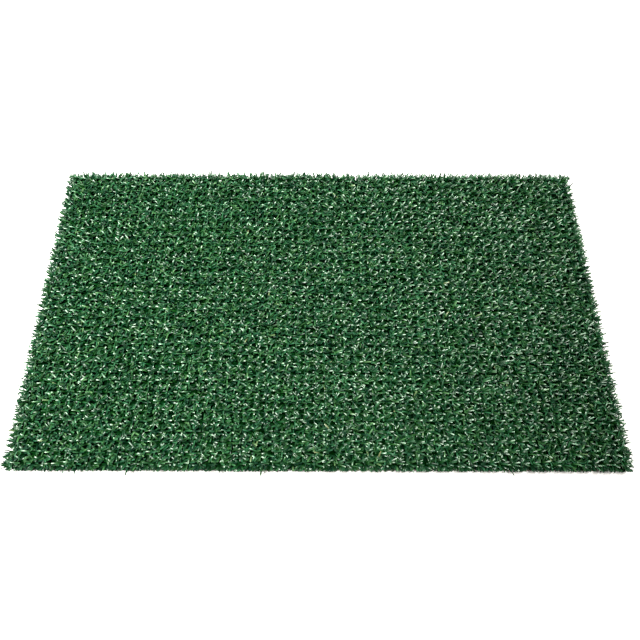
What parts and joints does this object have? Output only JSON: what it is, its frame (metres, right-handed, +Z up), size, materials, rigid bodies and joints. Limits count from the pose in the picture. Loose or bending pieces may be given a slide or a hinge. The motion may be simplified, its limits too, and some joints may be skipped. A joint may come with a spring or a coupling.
{
  "type": "golf hitting mat",
  "caption": "Flat rectangular practice mat: upright green tufted pile in straight rows on a laminated backing, thin foam pad and ribbed rubber base.",
  "frame": {"origin": "middle of the underside, on the plane that the mat lies on", "axes": "+X along the long side, +Z up out of the pile; the player stands beyond the long edge at -Y"},
  "size_m": [0.7, 0.4, 0.0277],
  "materials": {
    "pile_yarn": "satin green polyethylene tape yarn, with glossy flats",
    "backing_weave": "flat woven polypropylene tape, very dark green",
    "latex": "spread latex, matt dark grey",
    "scrim_weave": "open woven scrim, matt grey",
    "adhesive": "thin clear amber film",
    "pad_foam": "closed-cell foam, charcoal, fine cells on the cut edges",
    "base_rubber": "black rubber, matt, with fine texture and straight grip ribs"
  },
  "bodies": {
    "root": {"tuft_row_01": "pile_yarn", "tuft_row_02": "pile_yarn", "tuft_row_03": "pile_yarn", "tuft_row_04": "pile_yarn", "tuft_row_05": "pile_yarn", "tuft_row_06": "pile_yarn", "tuft_row_07": "pile_yarn", "tuft_row_08": "pile_yarn", "tuft_row_09": "pile_yarn", "tuft_row_10": "pile_yarn", "tuft_row_11": "pile_yarn", "tuft_row_12": "pile_yarn", "tuft_row_13": "pile_yarn", "tuft_row_14": "pile_yarn", "tuft_row_15": "pile_yarn", "tuft_row_16": "pile_yarn", "tuft_row_17": "pile_yarn", "tuft_row_18": "pile_yarn", "tuft_row_19": "pile_yarn", "tuft_row_20": "pile_yarn", "tuft_row_21": "pile_yarn", "tuft_row_22": "pile_yarn", "tuft_row_23": "pile_yarn", "tuft_row_24": "pile_yarn", "tuft_row_25": "pile_yarn", "tuft_row_26": "pile_yarn", "tuft_row_27": "pile_yarn", "tuft_row_28": "pile_yarn", "tuft_row_29": "pile_yarn", "tuft_row_30": "pile_yarn", "tuft_row_31": "pile_yarn", "tuft_row_32": "pile_yarn", "tuft_row_33": "pile_yarn", "tuft_row_34": "pile_yarn", "primary_backing": "backing_weave", "latex_coat": "latex", "secondary_backing": "scrim_weave", "pad_adhesive": "adhesive", "foam_pad": "pad_foam", "base_adhesive": "adhesive", "rubber_base": "base_rubber"}
  },
  "joints": []
}
